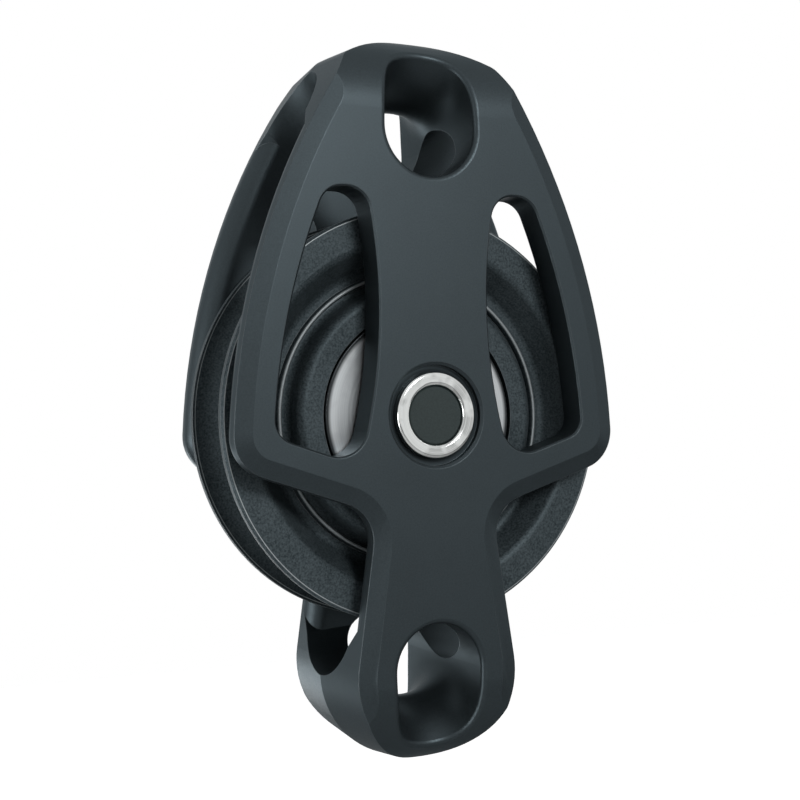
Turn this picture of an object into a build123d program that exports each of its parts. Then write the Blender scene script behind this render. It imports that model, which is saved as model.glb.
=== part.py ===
"""Sailing block: a one-piece two-cheek body with a roller-bearing sheave between the cheeks.

Millimetres, +Z up, the front face towards -Y. The origin is the middle of the head tunnel,
where a loop or shackle holds the block. The axle runs along Y.
"""

import os
from math import acos, atan2, cos, degrees, hypot, radians, sin, sqrt, tan

from build123d import *

os.makedirs("parts", exist_ok=True)

# Sheave and rope
sheave_diameter = 57.0
sheave_width = 13.6
groove_radius = 5.7
groove_depth = 6.6
rim_chamfer = 0.35
sheave_rim_width = 4.5
hub_rim_width = 3.3
dish_depth = 3.2
rib_height = 0.9

# Shares of the dish's own width taken by its walls, its corner rounds and its rib
hub_wall_share = 0.125
rim_wall_share = 0.425
dish_round_share = 0.19
rib_place_share = 0.31
rib_width_share = 0.14

# Body, seen from the front: the arms' height is above the axle
cheek_cover = 0.8
crown_above_sheave = 23.8
becket_below_sheave = 6.3
crown_radius = 23.0
shoulder_half_width = 11.9
cheek_side_radius = 99.0
arm_height = -6.95
arm_slope = 18.3
corner_radius = 6.4
shoulder_round = 3.0
waist_half_width = 9.6
waist_radius = 4.4
becket_radius = 12.65

# Body, seen from the side
body_thickness = 23.8
cheek_thickness = 4.6
side_draft = 4.5
bevel_width = 2.3
bevel_depth = 0.8
inner_edge_round = 2.5
end_fullness = 0.4

# Windows in each cheek
strut_top_half_width = 9.7
strut_foot_half_width = 14.0
strut_edge_radius = 72.0
window_rim = 6.15
window_above_sheave = 1.6
window_top_share = 0.6
window_foot_radius = 4.2
window_corner_radius = 3.0
window_edge = 0.25

# Tunnels through the head and the becket
head_tunnel_half_width = 6.7
head_tunnel_height = 11.0
head_tunnel_above_sheave = 3.7
head_saddle_radius = 5.33
becket_tunnel_half_width = 6.3
becket_tunnel_height = 11.3
becket_tunnel_inside_sheave = 0.6
becket_saddle_radius = 5.7
tunnel_overrun = 0.8
tunnel_edge = 0.7

# Webs that join the cheeks
head_web_radius = 14.0
head_web_above_sheave = 11.2
head_web_flare = 6.8
becket_web_radius = 80.0
becket_web_below_sheave = 5.8
becket_web_flare = 4.5
web_root = 0.55
web_root_run = 3.2

# Axle and its seats in the cheeks
axle_radius = 5.85
axle_bore_radius = 4.0
axle_stand_out = 0.1
axle_rim_round = 0.5
plug_depth = 3.0
plug_recess = 0.35
plug_chamfer = 0.2
seat_radius = 6.8
seat_depth = 1.1
seat_bevel_width = 0.4
seat_bevel_depth = 0.3
spacer_radius = 9.0
spacer_edge_round = 0.15

# Bearings inside the sheave
race_radius = 8.5
race_edge_round = 0.2
roller_radius = 1.5
roller_length = 7.4
roller_count = 16
roller_end_chamfer = 0.15
cage_thickness = 1.6
cage_end_width = 0.8
ball_radius = 1.0
ball_pitch_radius = 12.7
ball_count = 20
retainer_width = 2.5
retainer_thickness = 1.0
plate_radius = 14.0
plate_thickness = 0.8
plate_outer_recess = 0.1
plate_edge_round = 0.2

# Clearances
seat_clearance = 0.02
running_clearance = 0.03
race_clearance = 0.05
cage_clearance = 0.15
plate_clearance = 0.3

# Heights above the axle, and widths, that follow from the sizes above
sheave_radius = sheave_diameter / 2
sheave_face = sheave_width / 2
half_thickness = body_thickness / 2
gap = body_thickness - 2 * cheek_thickness
cheek_half_width = sheave_radius + cheek_cover
crown_height = sheave_radius + crown_above_sheave
becket_height = -sheave_radius - becket_below_sheave
window_top = sheave_radius + window_above_sheave
head_tunnel_floor = sheave_radius + head_tunnel_above_sheave
head_tunnel_ceiling = head_tunnel_floor + head_tunnel_height
becket_tunnel_ceiling = -sheave_radius + becket_tunnel_inside_sheave
becket_tunnel_floor = becket_tunnel_ceiling - becket_tunnel_height
head_web_bottom = sheave_radius + head_web_above_sheave
becket_web_top = -sheave_radius - becket_web_below_sheave
axle_height = -(head_tunnel_floor + head_tunnel_ceiling) / 2
groove_bottom_radius = sheave_radius - groove_depth
roller_pitch_radius = race_radius + running_clearance + roller_radius
sheave_bore_radius = roller_pitch_radius + roller_radius + running_clearance
plate_outer_face = sheave_face - plate_outer_recess
plate_inner_face = plate_outer_face - plate_thickness
ball_height = plate_inner_face - seat_clearance - ball_radius
ball_shoulder = ball_height - ball_radius - seat_clearance
same_place = 0.01

# The middle plane looks at the front: its x is across the block and its y is up from the axle
mid_plane = Plane(origin=(0, 0, axle_height), x_dir=(1, 0, 0), z_dir=(0, -1, 0))


def section_plane(height):
    """A plane for a turned half section: x is the radius and y runs to the rear."""
    return Plane(origin=(0, 0, axle_height + height), x_dir=(0, 0, 1), z_dir=(-1, 0, 0))


def turning_axis(height):
    """The axis, parallel to the axle, of a turned form this far above the axle."""
    return Axis((0, 0, axle_height + height), (0, 1, 0))


def write_step(piece, name):
    """Label a finished piece with its own name and write it to its file."""
    piece.label = name
    export_step(piece, f"parts/{name}.step")


# The outline of the body seen from the front, before its corners are rounded
corner = (cheek_half_width, arm_height)
neck_drop = (cheek_half_width - waist_half_width) * tan(radians(arm_slope))
neck = (waist_half_width, arm_height - neck_drop)
shoulder_drop = crown_radius - sqrt(crown_radius**2 - shoulder_half_width**2)
shoulder = (shoulder_half_width, crown_height - shoulder_drop)
neck_above_becket = neck[1] - becket_height
waist_turn = acos(becket_radius / hypot(neck[0], neck_above_becket))
waist_angle = atan2(neck_above_becket, neck[0]) - waist_turn
waist_end = (becket_radius * cos(waist_angle), becket_height + becket_radius * sin(waist_angle))
becket_foot = becket_height - becket_radius

with BuildSketch(mid_plane) as sharp_outline:
    with BuildLine():
        RadiusArc((0, crown_height), shoulder, crown_radius)
        RadiusArc(shoulder, corner, cheek_side_radius)
        Line(corner, neck)
        Line(neck, waist_end)
        RadiusArc(waist_end, (0, becket_foot), becket_radius)
        mirror(about=Plane.YZ)
    make_face()


def corners_at(sketch, half_width):
    """The vertices of a sketch that lie at one distance from its centreline."""
    return [v for v in sketch.vertices() if abs(abs(v.X) - half_width) < same_place]


# The windows follow the outline at the rim's width, and the strut with its hollow edges
strut_top = (strut_top_half_width, window_top)
strut_foot = (strut_foot_half_width, neck[1])
with BuildSketch(mid_plane) as windows:
    add(sharp_outline.sketch_local)
    offset(amount=-window_rim, mode=Mode.REPLACE)
    with BuildLine():
        RadiusArc(strut_foot, strut_top, strut_edge_radius)
        Polyline(
            strut_top,
            (2 * cheek_half_width, window_top),
            (2 * cheek_half_width, neck[1]),
            strut_foot,
        )
    make_face(mode=Mode.INTERSECT)
    fillet(windows.vertices().sort_by(Axis.X)[-1], window_corner_radius)
    fillet(windows.vertices().group_by(Axis.Y)[0], window_foot_radius)
    top_corners = windows.vertices().group_by(Axis.Y)[-1].sort_by(Axis.X)
    top_width = top_corners[-1].X - top_corners[0].X
    fillet(top_corners, top_width * window_top_share)
    mirror(about=Plane.YZ)


def tunnel_station(depth, fixed_edge, mid_edge, saddle_radius, half_width):
    """A section of a tunnel: round on the sheave's side, and oval on the bar's, which curves away."""
    sag = depth**2 / (2 * saddle_radius)
    outward = 1 if mid_edge > fixed_edge else -1
    widest = fixed_edge + outward * half_width
    reach = abs(mid_edge - widest) + sag
    bar_start = 90 - 90 * outward
    with BuildSketch(mid_plane.offset(depth)) as station:
        with BuildLine():
            CenterArc((0, widest), half_width, bar_start + 180, 180)
            EllipticalCenterArc((0, widest), half_width, reach, bar_start, arc_size=180)
        make_face()
    return station.sketch


# The two tunnels flare to the front and to the rear round a saddle that a line bears on
tunnel_reach = half_thickness + tunnel_overrun
tunnel_quarter = gap / 2 + inner_edge_round
station_depths = [-tunnel_reach, -tunnel_quarter, 0, tunnel_quarter, tunnel_reach]
with BuildPart() as head_tunnel:
    head_sections = [
        tunnel_station(
            depth, head_tunnel_floor, head_tunnel_ceiling, head_saddle_radius, head_tunnel_half_width
        )
        for depth in station_depths
    ]
    loft(head_sections)
with BuildPart() as becket_tunnel:
    becket_sections = [
        tunnel_station(
            depth, becket_tunnel_ceiling, becket_tunnel_floor, becket_saddle_radius,
            becket_tunnel_half_width,
        )
        for depth in station_depths
    ]
    loft(becket_sections)

# The solid blank: drafted sides, a bevel round each face, and full round ends seen from the side
body_height = crown_height - becket_foot
with BuildPart() as side_envelope:
    with BuildSketch(Plane.YZ):
        with Locations((0, axle_height + (crown_height + becket_foot) / 2)):
            SlotOverall(body_height + 2 * end_fullness, body_thickness, rotation=90)
    extrude(amount=2 * cheek_half_width, both=True)

with BuildPart() as half_blank:
    with BuildSketch(mid_plane) as outline:
        add(sharp_outline.sketch_local)
        fillet(corners_at(outline, cheek_half_width), corner_radius)
        fillet(corners_at(outline, waist_half_width), waist_radius)
        fillet(corners_at(outline, shoulder_half_width), shoulder_round)
    extrude(amount=half_thickness - bevel_depth, taper=side_draft)
    front_face = half_blank.faces().sort_by(Axis.Y)[0]
    extrude(front_face, amount=bevel_depth, taper=degrees(atan2(bevel_width, bevel_depth)))

with BuildPart() as blank:
    add(half_blank.part)
    mirror(about=Plane.XZ)
    add(side_envelope.part, mode=Mode.INTERSECT)

# The webs stand between the cheeks at the head and the becket, with a hollow rounded edge
web_half_width = gap / 2 + inner_edge_round + web_root
web_sizes = [
    (head_web_bottom + head_web_radius, head_web_radius, head_web_flare),
    (becket_web_top - becket_web_radius, becket_web_radius, becket_web_flare),
]
with BuildPart() as webs:
    for web_height, web_radius, web_flare in web_sizes:
        flare_radius = web_radius + web_flare
        with BuildSketch(section_plane(web_height)):
            with BuildLine():
                Polyline(
                    (flare_radius, -gap / 2),
                    (flare_radius + web_root_run, -web_half_width),
                    (0, -web_half_width),
                    (0, web_half_width),
                    (flare_radius + web_root_run, web_half_width),
                    (flare_radius, gap / 2),
                )
                ThreePointArc((flare_radius, gap / 2), (web_radius, 0), (flare_radius, -gap / 2))
            make_face()
        revolve(axis=turning_axis(web_height))
    add(blank.part, mode=Mode.INTERSECT)

# The body: one piece, with a slot for the sheave, rounded inner edges, the webs and the tunnels
with BuildPart() as body:
    add(half_blank.part)
    with BuildSketch(mid_plane):
        Rectangle(4 * cheek_half_width, 2 * body_height)
    extrude(amount=gap / 2, mode=Mode.SUBTRACT)
    inner_face = body.faces().sort_by(Axis.Y)[-1]
    fillet(inner_face.outer_wire().edges(), inner_edge_round)
    with BuildSketch(mid_plane):
        add(windows.sketch_local)
    extrude(amount=half_thickness, mode=Mode.SUBTRACT)
    front_face = body.faces().sort_by(Axis.Y)[0]
    chamfer(front_face.inner_wires().edges(), window_edge)
    mirror(about=Plane.XZ)
    add(side_envelope.part, mode=Mode.INTERSECT)
    add(webs.part)
    for tunnel in (head_tunnel, becket_tunnel):
        add(tunnel.part, mode=Mode.SUBTRACT)
        mouth_edges = [
            edge for edge in body.edges(Select.NEW) if abs(edge.center().Y) > gap / 2 + inner_edge_round
        ]
        fillet(mouth_edges, tunnel_edge)
    with BuildSketch(section_plane(0)):
        with BuildLine():
            Polyline(
                (0, 0),
                (axle_radius + seat_clearance, 0),
                (axle_radius + seat_clearance, half_thickness - seat_depth),
                (seat_radius, half_thickness - seat_depth),
                (seat_radius, half_thickness - seat_bevel_depth),
                (seat_radius + seat_bevel_width, half_thickness),
                (seat_radius + seat_bevel_width, body_thickness),
                (0, body_thickness),
                close=True,
            )
        make_face()
        mirror(about=Plane.XZ)
    revolve(axis=turning_axis(0), mode=Mode.SUBTRACT)
write_step(body.part, "body")


# The sheave: a rope groove, a dished web with a raised rib, and a recess for each side bearing
dish_floor = sheave_face - dish_depth
plate_recess_radius = plate_radius + plate_clearance
dish_inner_radius = plate_recess_radius + hub_rim_width
dish_outer_radius = sheave_radius - sheave_rim_width
dish_width = dish_outer_radius - dish_inner_radius
with BuildPart() as sheave:
    with BuildSketch(section_plane(0)) as sheave_section:
        with BuildLine():
            Polyline(
                (sheave_bore_radius, 0),
                (sheave_bore_radius, ball_shoulder),
                (plate_recess_radius, ball_shoulder),
                (plate_recess_radius, sheave_face),
                (sheave_radius, sheave_face),
                (sheave_radius, 0),
                close=True,
            )
        make_face()
        chamfer(sheave_section.vertices().group_by(Axis.X)[-1].sort_by(Axis.Y)[-1], rim_chamfer)
        with BuildSketch(mode=Mode.PRIVATE) as dish:
            with BuildLine():
                Polyline(
                    (dish_inner_radius, 2 * sheave_face),
                    (dish_inner_radius, sheave_face),
                    (dish_inner_radius + dish_width * hub_wall_share, dish_floor),
                    (dish_outer_radius - dish_width * rim_wall_share, dish_floor),
                    (dish_outer_radius, sheave_face),
                    (dish_outer_radius, 2 * sheave_face),
                    close=True,
                )
            make_face()
        add(dish.sketch, mode=Mode.SUBTRACT)
        dish_corners = [
            vertex
            for vertex in sheave_section.vertices()
            if dish_inner_radius - same_place < vertex.X < dish_outer_radius + same_place
        ]
        fillet(dish_corners, dish_width * dish_round_share)
        with Locations((dish_inner_radius + dish_width * rib_place_share, dish_floor)):
            Ellipse(dish_width * rib_width_share / 2, rib_height)
        mirror(about=Plane.XZ)
        with Locations((groove_bottom_radius + groove_radius, 0)):
            Circle(groove_radius, mode=Mode.SUBTRACT)
    revolve(axis=turning_axis(0))
write_step(sheave.part, "sheave")


def turned_ring(inner_radius, outer_radius, near_face, far_face, edge_round):
    """A ring turned about the axle between two faces measured from the middle plane."""
    with BuildPart() as ring:
        with BuildSketch(section_plane(0)) as section:
            with Locations(((inner_radius + outer_radius) / 2, (near_face + far_face) / 2)):
                Rectangle(outer_radius - inner_radius, abs(far_face - near_face))
            fillet(section.vertices(), edge_round)
        revolve(axis=turning_axis(0))
    return ring.part


# The axle: a polished tube through both cheeks, with a black plug in each end
axle_end = half_thickness + axle_stand_out
axle = turned_ring(axle_bore_radius, axle_radius, -axle_end, axle_end, axle_rim_round)
write_step(axle, "axle")

for side, name in ((-1, "front"), (1, "rear")):
    plug_face = half_thickness - plug_recess
    with BuildPart() as plug:
        with BuildSketch(mid_plane.offset(-side * plug_face)):
            Circle(axle_bore_radius - seat_clearance)
        extrude(amount=side * plug_depth)
        chamfer(plug.edges().filter_by(GeomType.CIRCLE), plug_chamfer)
    write_step(plug.part, f"plug_{name}")

    spacer = turned_ring(
        axle_radius + race_clearance, spacer_radius, side * plate_outer_face, side * gap / 2,
        spacer_edge_round,
    )
    write_step(spacer, f"spacer_{name}")

    side_plate = turned_ring(
        axle_radius + race_clearance, plate_radius, side * plate_inner_face, side * plate_outer_face,
        plate_edge_round,
    )
    write_step(side_plate, f"side_plate_{name}")

# The inner race, on which the main rollers run
inner_race = turned_ring(
    axle_radius + race_clearance, race_radius, -plate_inner_face, plate_inner_face, race_edge_round
)
write_step(inner_race, "inner_race")


def place_round(pitch_radius, angle, depth):
    """A point on a circle round the axle, at an angle from the top and a depth to the rear."""
    return (pitch_radius * sin(angle), depth, axle_height + pitch_radius * cos(angle))


# The main rollers, and the cage that keeps them apart
roller_step = radians(360 / roller_count)
cage_half_length = roller_length / 2 + cage_clearance + cage_end_width
with BuildPart() as roller_cage:
    with BuildSketch(mid_plane):
        Circle(roller_pitch_radius + cage_thickness / 2)
        Circle(roller_pitch_radius - cage_thickness / 2, mode=Mode.SUBTRACT)
    extrude(amount=cage_half_length, both=True)
    with Locations(mid_plane):
        with PolarLocations(roller_pitch_radius, roller_count, start_angle=90):
            Box(
                2 * cage_thickness,
                2 * (roller_radius + cage_clearance),
                roller_length + 2 * cage_clearance,
                mode=Mode.SUBTRACT,
            )
write_step(roller_cage.part, "roller_cage")

for index in range(roller_count):
    centre = place_round(roller_pitch_radius, index * roller_step, 0)
    with BuildPart(Plane(origin=centre, z_dir=(0, -1, 0))) as roller:
        Cylinder(roller_radius, roller_length)
        chamfer(roller.edges().filter_by(GeomType.CIRCLE), roller_end_chamfer)
    write_step(roller.part, f"roller_{index + 1:02d}")

# The side bearings: a ring of balls in a retainer, between the sheave and each side plate
ball_step = radians(360 / ball_count)
for side, name in ((-1, "front"), (1, "rear")):
    ball_places = [
        place_round(ball_pitch_radius, index * ball_step, side * ball_height) for index in range(ball_count)
    ]
    with BuildPart() as side_balls:
        with Locations(*ball_places):
            Sphere(ball_radius)
    write_step(side_balls.part, f"side_balls_{name}")

    with BuildPart() as retainer:
        with BuildSketch(mid_plane.offset(-side * ball_height)):
            Circle(ball_pitch_radius + retainer_width / 2)
            Circle(ball_pitch_radius - retainer_width / 2, mode=Mode.SUBTRACT)
        extrude(amount=retainer_thickness / 2, both=True)
        with Locations(*ball_places):
            Sphere(ball_radius + running_clearance, mode=Mode.SUBTRACT)
    write_step(retainer.part, f"ball_retainer_{name}")
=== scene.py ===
from math import radians

import bpy
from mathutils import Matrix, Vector


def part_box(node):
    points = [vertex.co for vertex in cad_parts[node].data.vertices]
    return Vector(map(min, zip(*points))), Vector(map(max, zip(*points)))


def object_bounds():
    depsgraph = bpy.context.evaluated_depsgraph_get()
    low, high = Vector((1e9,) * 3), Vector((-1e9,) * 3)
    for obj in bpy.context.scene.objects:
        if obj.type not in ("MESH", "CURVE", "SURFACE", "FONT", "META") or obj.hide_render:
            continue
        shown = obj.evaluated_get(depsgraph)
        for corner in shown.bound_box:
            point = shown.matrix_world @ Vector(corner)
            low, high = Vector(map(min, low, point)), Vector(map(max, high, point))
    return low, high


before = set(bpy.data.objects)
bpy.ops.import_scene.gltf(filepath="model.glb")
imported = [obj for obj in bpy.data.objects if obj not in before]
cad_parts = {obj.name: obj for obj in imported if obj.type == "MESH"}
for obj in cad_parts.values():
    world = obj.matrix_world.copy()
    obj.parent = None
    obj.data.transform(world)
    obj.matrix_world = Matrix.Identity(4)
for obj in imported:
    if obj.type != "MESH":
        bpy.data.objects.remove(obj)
cad_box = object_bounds()
scene = bpy.context.scene

# The view. A plain standard view, and a camera a hand's length from the block, off its front
# left corner and a little below the axle, with a lens that shows the whole block.
image_side = 800
focal_pixels = 1393
sensor_width = 36
nearest_seen = 0.005
camera_place = (-0.08528, -0.17802, -0.03939)
camera_turn = (radians(91.170), radians(1.040), radians(-25.649))
scene.view_settings.view_transform = "Standard"
camera_data = bpy.data.cameras.new("camera")
camera_data.sensor_width = sensor_width
camera_data.lens = focal_pixels / image_side * sensor_width
camera_data.clip_start = nearest_seen
camera = bpy.data.objects.new("camera", camera_data)
camera.location = camera_place
camera.rotation_euler = camera_turn
scene.collection.objects.link(camera)
scene.camera = camera

# The body. One piece of aluminium, machined from the solid with its sides drafted and its faces
# bevelled, then fine-blasted and hard anodised to a satin dark grey. Its edges have a painted
# highlight, and the floor of the seat round each end of the axle is darker with painted shade.
axle_low, axle_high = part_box("axle")
axle_height = (axle_low[2] + axle_high[2]) / 2
body_grey = (0.030, 0.038, 0.042, 1.0)
body_grey_light = (0.036, 0.046, 0.051, 1.0)
# Painted highlight: the paler grey laid along the body's sharp edges.
edge_highlight_grey = (0.150, 0.172, 0.182, 1.0)
shade_black = (0.006, 0.008, 0.009, 1.0)
dye_reflection = (0.50, 0.54, 0.56, 1.0)
dye_reflection_level = 0.2
blast_depth = 0.00002
blotch_size = 0.012
blotch_share = 0.3
rounded_edge_width = 0.00014
edge_highlight_amount = 0.6
smoother = 0.04
rougher = 0.05
cloud_middle = (0.35, 0.65)
cloud_range = (0.3, 0.7)
cloud_roughness = 0.6
ring_core_share = 0.4
# Painted shade: a dark ring on the floor of the seat round each end of the axle.
seat_painted_shade = dict(radius=axle_high[0] + 0.00005, width=0.0007, amount=0.8, colour=shade_black)


def new_material(name):
    """A new material, its node tree and its shader."""
    material = bpy.data.materials.new(name)
    material.use_nodes = True
    shader = material.node_tree.nodes["Principled BSDF"]
    return material, material.node_tree, shader


def add_node(tree, kind, **settings):
    """A node of one kind, with its properties set by name."""
    node = tree.nodes.new(kind)
    for name, value in settings.items():
        setattr(node, name, value)
    return node


def maths(tree, operation, first, second=None):
    """A math node fed by sockets or numbers; returns its output."""
    node = add_node(tree, "ShaderNodeMath", operation=operation)
    for slot, value in enumerate((first, second)):
        if value is None:
            continue
        if isinstance(value, (int, float)):
            node.inputs[slot].default_value = value
        else:
            tree.links.new(value, node.inputs[slot])
    return node.outputs[0]


def object_place(tree):
    """The point being shaded, in metres in the block's own frame."""
    return add_node(tree, "ShaderNodeTexCoord").outputs["Object"]


def grain(tree, place, size, detail=2.0):
    """A cloudy pattern from 0 to 1 whose blotches are about this many metres across."""
    noise = add_node(tree, "ShaderNodeTexNoise")
    noise.inputs["Scale"].default_value = 1 / size
    noise.inputs["Detail"].default_value = detail
    noise.inputs["Roughness"].default_value = cloud_roughness
    tree.links.new(place, noise.inputs["Vector"])
    return noise.outputs["Fac"]


def spread(tree, value, old_range, new_low, new_high):
    """Maps one range of a value to another, held at its ends."""
    node = add_node(tree, "ShaderNodeMapRange")
    tree.links.new(value, node.inputs["Value"])
    node.inputs["From Min"].default_value = old_range[0]
    node.inputs["From Max"].default_value = old_range[1]
    node.inputs["To Min"].default_value = new_low
    node.inputs["To Max"].default_value = new_high
    return node.outputs[0]


def blend_colours(tree, factor, first, second):
    """Mixes two colours, each a socket or four numbers."""
    node = add_node(tree, "ShaderNodeMix", data_type="RGBA")
    tree.links.new(factor, node.inputs["Factor"])
    for slot, colour in ((6, first), (7, second)):
        if isinstance(colour, tuple):
            node.inputs[slot].default_value = colour
        else:
            tree.links.new(colour, node.inputs[slot])
    return node.outputs[2]


def bump(tree, height, strength, depth, normal=None):
    """Turns a height into a normal, over an earlier normal where one is given."""
    node = add_node(tree, "ShaderNodeBump")
    node.inputs["Strength"].default_value = strength
    node.inputs["Distance"].default_value = depth
    tree.links.new(height, node.inputs["Height"])
    if normal is not None:
        tree.links.new(normal, node.inputs["Normal"])
    return node.outputs[0]


def soft_edges(tree, width):
    """A normal that rounds sharp edges by this width, and a mask that is 1 along them."""
    edge_to_face = (0.80, 0.99)
    bevel = add_node(tree, "ShaderNodeBevel", samples=6)
    bevel.inputs["Radius"].default_value = width
    geometry = add_node(tree, "ShaderNodeNewGeometry")
    closeness = add_node(tree, "ShaderNodeVectorMath", operation="DOT_PRODUCT")
    tree.links.new(bevel.outputs[0], closeness.inputs[0])
    tree.links.new(geometry.outputs["Normal"], closeness.inputs[1])
    mask = spread(tree, closeness.outputs["Value"], edge_to_face, 1.0, 0.0)
    return bevel.outputs[0], mask


def axle_radius(tree, place):
    """How far a point is from the axle's centre line, in metres."""
    split = add_node(tree, "ShaderNodeSeparateXYZ")
    tree.links.new(place, split.inputs[0])
    across = maths(tree, "POWER", split.outputs["X"], 2.0)
    up = maths(tree, "POWER", maths(tree, "SUBTRACT", split.outputs["Z"], axle_height), 2.0)
    return maths(tree, "SQRT", maths(tree, "ADD", across, up))


def add_ring(tree, place, under, radius, width, amount, colour):
    """Lays a ring round the axle over another colour, and fades it out over its width."""
    off = maths(tree, "ABSOLUTE", maths(tree, "SUBTRACT", axle_radius(tree, place), radius))
    ring = spread(tree, off, (width * ring_core_share, width), amount, 0.0)
    return blend_colours(tree, ring, under, colour)


def anodised(name, dark, light, edge_highlight, grain_size, grain_strength, roughness, metallic, rings):
    """Dyed anodised aluminium: fine blast grain, slight blotches, a painted highlight along the
    edges, and rings of painted highlight and shade.
    """
    material, tree, shader = new_material(name)
    place = object_place(tree)
    fine = grain(tree, place, grain_size)
    broad = grain(tree, place, blotch_size, detail=3.0)
    fine_part = maths(tree, "MULTIPLY", fine, 1 - blotch_share)
    broad_part = maths(tree, "MULTIPLY", broad, blotch_share)
    tone = spread(tree, maths(tree, "ADD", fine_part, broad_part), cloud_middle, 0.0, 1.0)
    normal, edge = soft_edges(tree, rounded_edge_width)
    # A painted highlight along the sharp edges.
    edge_highlight_share = maths(tree, "MULTIPLY", edge, edge_highlight_amount)
    colour = blend_colours(tree, edge_highlight_share, blend_colours(tree, tone, dark, light), edge_highlight)
    # Rings of painted shade and painted highlight round the axle go over the colour.
    for ring in rings:
        colour = add_ring(tree, place, colour, **ring)
    sheen = spread(tree, fine, cloud_range, roughness - smoother, roughness + rougher)
    tree.links.new(colour, shader.inputs["Base Color"])
    tree.links.new(sheen, shader.inputs["Roughness"])
    tree.links.new(bump(tree, fine, grain_strength, blast_depth, normal), shader.inputs["Normal"])
    shader.inputs["Metallic"].default_value = metallic
    shader.inputs["Specular IOR Level"].default_value = dye_reflection_level
    shader.inputs["Specular Tint"].default_value = dye_reflection
    return material


def dress(names, material):
    """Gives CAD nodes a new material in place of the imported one."""
    for name in names:
        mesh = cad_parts[name].data
        mesh.materials.clear()
        mesh.materials.append(material)


body_anodised = anodised(
    "body_anodised",
    dark=body_grey,
    light=body_grey_light,
    edge_highlight=edge_highlight_grey,
    grain_size=0.00022,
    grain_strength=0.25,
    roughness=0.40,
    metallic=0.75,
    rings=[seat_painted_shade],
)
dress(["body"], body_anodised)

# The sheave. One turned piece of aluminium with a round rope groove, a dished web with a raised
# rib, and a recess for each side bearing. It is bead-blasted and anodised in the same grey, with
# a painted highlight along its edges, its rib and its rim.
sheave_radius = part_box("sheave")[1][0]
sheave_grey = (0.017, 0.024, 0.027, 1.0)
sheave_grey_light = (0.058, 0.073, 0.080, 1.0)
# Painted highlight: a pale grey along the sheave's edges, its rib and its rim.
sheave_highlight_grey = (0.34, 0.37, 0.38, 1.0)
rib_highlight = dict(radius=0.0196, width=0.00028, amount=0.7, colour=sheave_highlight_grey)
rim_highlight = dict(radius=sheave_radius - 0.0004, width=0.00008, amount=0.8, colour=sheave_highlight_grey)
sheave_anodised = anodised(
    "sheave_anodised",
    dark=sheave_grey,
    light=sheave_grey_light,
    edge_highlight=sheave_highlight_grey,
    grain_size=0.00028,
    grain_strength=0.6,
    roughness=0.5,
    metallic=0.4,
    rings=[rib_highlight, rim_highlight],
)
dress(["sheave"], sheave_anodised)

# The axle and its race. A tube of stainless steel, turned, polished and rounded at its rims, held
# in a seat in each cheek, and the ground steel sleeve on it that the main rollers run on.
axle_steel = (0.68, 0.70, 0.69, 1.0)
race_steel = (0.60, 0.60, 0.61, 1.0)
polished_share = 0.8
dulled_share = 1.3
mark_depth = 0.00001
mark_tone = 0.80
# Painted dark reflection: dark patches streaked along the lathe marks of the polished steel.
dark_reflection_size = 0.0035
dark_reflection_patches = (0.50, 0.62)
dark_reflection_marks = (0.35, 0.60)
dark_reflection_tone = 0.35


def scaled(colour, gain, lift=0.0):
    """A colour made darker or paler by the same gain and lift in each channel."""
    return tuple(gain * channel + lift for channel in colour[:3]) + (1.0,)


def turned_metal(name, colour, roughness, mark_size, mark_strength, dark_reflection_strength, rings=()):
    """Bright metal with fine lathe marks round the axle, patches of painted dark reflection, and
    rings of painted shade.
    """
    material, tree, shader = new_material(name)
    place = object_place(tree)
    split = add_node(tree, "ShaderNodeSeparateXYZ")
    tree.links.new(place, split.inputs[0])
    turned_place = add_node(tree, "ShaderNodeCombineXYZ")
    tree.links.new(axle_radius(tree, place), turned_place.inputs["X"])
    tree.links.new(split.outputs["Y"], turned_place.inputs["Y"])
    marks = grain(tree, turned_place.outputs[0], mark_size, detail=4.0)
    mark_amount = spread(tree, marks, cloud_range, 0.0, 1.0)
    tone = blend_colours(tree, mark_amount, scaled(colour, mark_tone), colour)
    # Painted dark reflection in patches along the lathe marks.
    patches = spread(tree, grain(tree, place, dark_reflection_size), dark_reflection_patches, 0.0, dark_reflection_strength)
    dark_reflection = maths(tree, "MULTIPLY", patches, spread(tree, marks, dark_reflection_marks, 0.0, 1.0))
    tone = blend_colours(tree, dark_reflection, tone, scaled(colour, dark_reflection_tone))
    for ring in rings:
        tone = add_ring(tree, place, tone, **ring)
    sheen = spread(tree, marks, cloud_range, roughness * polished_share, roughness * dulled_share)
    tree.links.new(tone, shader.inputs["Base Color"])
    tree.links.new(sheen, shader.inputs["Roughness"])
    tree.links.new(bump(tree, marks, mark_strength, mark_depth), shader.inputs["Normal"])
    shader.inputs["Metallic"].default_value = 1.0
    return material


axle_polished = turned_metal(
    "axle_polished",
    colour=axle_steel,
    roughness=0.12,
    mark_size=0.00016,
    mark_strength=0.2,
    dark_reflection_strength=0.75,
)
race_ground = turned_metal(
    "race_ground",
    colour=race_steel,
    roughness=0.22,
    mark_size=0.00008,
    mark_strength=0.2,
    dark_reflection_strength=0.4,
)
dress(["axle"], axle_polished)
dress(["inner_race"], race_ground)

# The side plates. Thin polished discs over the side bearings, let into the sheave's recesses,
# which show silver through the windows. Each has painted shade along its rim, next to the sheave.
plate_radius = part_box("side_plate_front")[1][2] - axle_height
plate_grey = (0.40, 0.42, 0.43, 1.0)
# Painted shade along each plate's rim.
plate_rim_shade = dict(radius=plate_radius, width=0.0009, amount=0.95, colour=shade_black)
plate_silver = turned_metal(
    "plate_silver",
    colour=plate_grey,
    roughness=0.34,
    mark_size=0.00016,
    mark_strength=0.1,
    dark_reflection_strength=0.2,
    rings=[plate_rim_shade],
)
dress(["side_plate_front", "side_plate_rear"], plate_silver)

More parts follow.
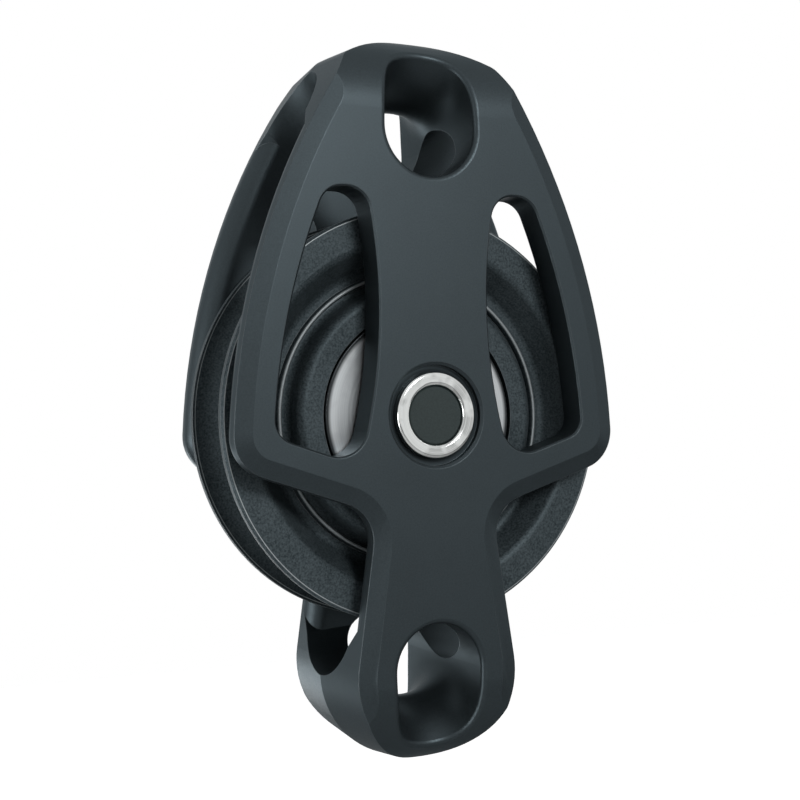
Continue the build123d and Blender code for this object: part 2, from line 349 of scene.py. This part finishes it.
# The plugs, spacers, cages, rollers and balls. They are moulded or turned plastics: matt black
# for what holds, dull olive brown for the rollers and ivory for the balls.
black = (0.012, 0.020, 0.020, 1.0)
roller_brown = (0.16, 0.12, 0.045, 1.0)
ivory = (0.72, 0.70, 0.64, 1.0)
plastic_reflection_level = 0.25
plastic_grain_strength = 0.3
plastic_grain_depth = 0.00001
plastic_sheen_change = 0.05


def moulded(name, colour, roughness, grain_size):
    """Moulded plastic with a faint grain and slight change of tone."""
    material, tree, shader = new_material(name)
    fine = grain(tree, object_place(tree), grain_size, detail=3.0)
    tone = spread(tree, fine, cloud_middle, 0.0, 1.0)
    paler = scaled(colour, gain=1.25, lift=0.004)
    shiny = roughness - plastic_sheen_change
    dull = roughness + plastic_sheen_change
    normal = bump(tree, fine, plastic_grain_strength, plastic_grain_depth)
    tree.links.new(blend_colours(tree, tone, colour, paler), shader.inputs["Base Color"])
    tree.links.new(spread(tree, fine, cloud_range, shiny, dull), shader.inputs["Roughness"])
    tree.links.new(normal, shader.inputs["Normal"])
    shader.inputs["Specular IOR Level"].default_value = plastic_reflection_level
    return material


plug_black = moulded("plug_black", black, roughness=0.55, grain_size=0.00025)
spacer_black = moulded("spacer_black", black, roughness=0.5, grain_size=0.0003)
cage_black = moulded("cage_black", black, roughness=0.45, grain_size=0.0003)
roller_plastic = moulded("roller_plastic", roller_brown, roughness=0.4, grain_size=0.0003)
ball_ivory = moulded("ball_ivory", ivory, roughness=0.25, grain_size=0.0004)
cages = ["roller_cage", "ball_retainer_front", "ball_retainer_rear"]
rollers = sorted(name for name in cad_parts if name.startswith("roller_") and name not in cages)
dress(["plug_front", "plug_rear"], plug_black)
dress(["spacer_front", "spacer_rear"], spacer_black)
dress(cages, cage_black)
dress(rollers, roller_plastic)
dress(["side_balls_front", "side_balls_rear"], ball_ivory)

# The studio. A pale floor some way below the hanging block, a white background, and three soft
# lamps: the key at the left, a fill in front and above, and one behind and below.
floor_drop = 0.25
floor_reach = 1.5
floor_white = (0.85, 0.85, 0.85, 1.0)
floor_seen = 0.85
floor_roughness = 0.9
white = (1.0, 1.0, 1.0, 1.0)
room_light = 0.18
floor_height = cad_box[0][2] - floor_drop
floor_corners = [
    (-floor_reach, -floor_reach, floor_height),
    (floor_reach, -floor_reach, floor_height),
    (floor_reach, floor_reach, floor_height),
    (-floor_reach, floor_reach, floor_height),
]
floor_mesh = bpy.data.meshes.new("floor")
floor_mesh.from_pydata(floor_corners, [], [(0, 1, 2, 3)])
floor = bpy.data.objects.new("floor", floor_mesh)
scene.collection.objects.link(floor)
floor_pale, floor_tree, floor_shader = new_material("floor_pale")
floor_rays = add_node(floor_tree, "ShaderNodeLightPath").outputs
floor_glow = maths(floor_tree, "MULTIPLY", floor_rays["Is Camera Ray"], floor_seen)
floor_tree.links.new(floor_glow, floor_shader.inputs["Emission Strength"])
floor_shader.inputs["Emission Color"].default_value = white
floor_shader.inputs["Base Color"].default_value = floor_white
floor_shader.inputs["Roughness"].default_value = floor_roughness
floor_mesh.materials.append(floor_pale)

world = bpy.data.worlds.new("studio")
scene.world = world
world.use_nodes = True
world_tree = world.node_tree
background = world_tree.nodes["Background"]
background.inputs["Color"].default_value = white
rays = add_node(world_tree, "ShaderNodeLightPath").outputs
mirrored = maths(world_tree, "MAXIMUM", rays["Is Glossy Ray"], rays["Is Transmission Ray"])
seen = maths(world_tree, "MAXIMUM", rays["Is Camera Ray"], mirrored)
world_strength = spread(world_tree, seen, (0.0, 1.0), room_light, 1.0)
world_tree.links.new(world_strength, background.inputs["Strength"])


def soft_lamp(name, place, size, power):
    """A square lamp that faces the block's middle."""
    lamp_data = bpy.data.lights.new(name, "AREA")
    lamp_data.size = size
    lamp_data.energy = power
    lamp = bpy.data.objects.new(name, lamp_data)
    lamp.location = place
    aim = Vector((0, 0, axle_height)) - Vector(place)
    lamp.rotation_euler = aim.to_track_quat("-Z", "Y").to_euler()
    scene.collection.objects.link(lamp)


soft_lamp("key", place=(-0.80, -0.02, -0.26), size=0.6, power=9.0)
soft_lamp("fill", place=(0.10, -0.70, 0.28), size=0.2, power=3.6)
soft_lamp("back", place=(-0.10, 0.70, -0.42), size=0.5, power=4.0)
